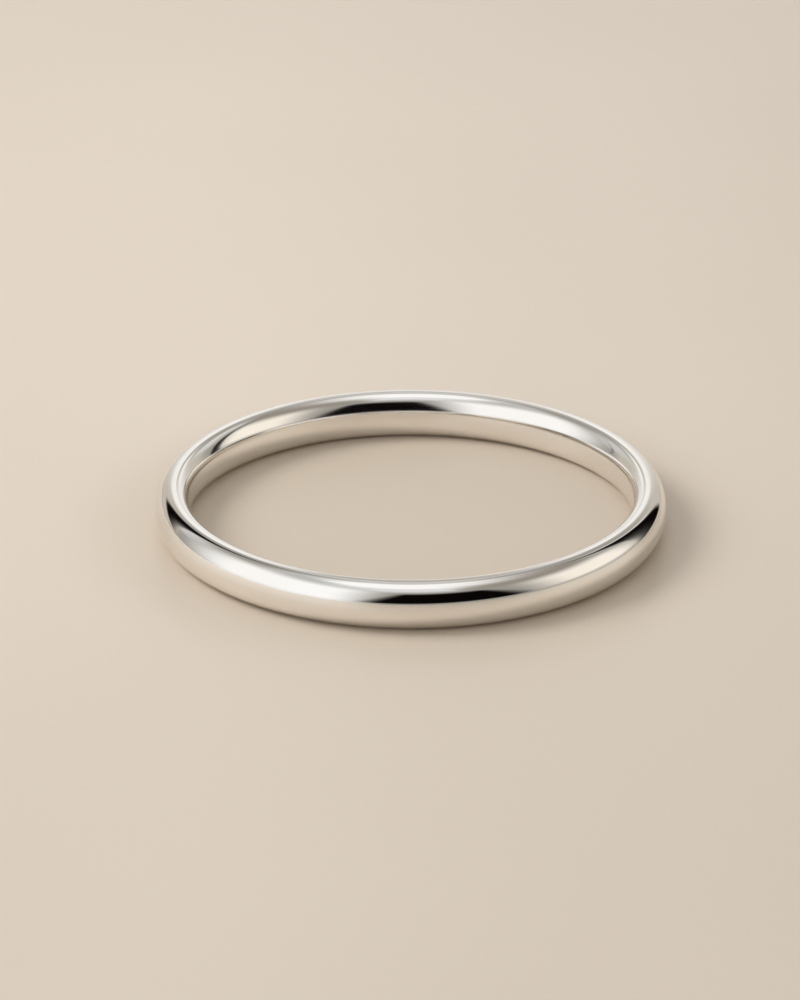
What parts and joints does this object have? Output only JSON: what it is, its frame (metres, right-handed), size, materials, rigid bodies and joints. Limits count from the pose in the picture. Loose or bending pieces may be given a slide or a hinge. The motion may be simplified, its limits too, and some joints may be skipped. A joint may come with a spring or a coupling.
{
  "type": "stackable ring",
  "caption": "Plain polished finger ring with an oval section and narrow flat rims, worn alone or stacked with others like it.",
  "frame": {"origin": "centre of the finger hole, on the plane of the underside that the ring lies on", "axes": "+Z along the finger's axis, up as the ring lies flat; +X and +Y across the ring, alike because the band is round"},
  "size_m": [0.02, 0.02, 0.0019],
  "materials": {
    "polished_silver": "mirror-polished silver"
  },
  "bodies": {
    "root": {"band": "polished_silver"}
  },
  "joints": []
}
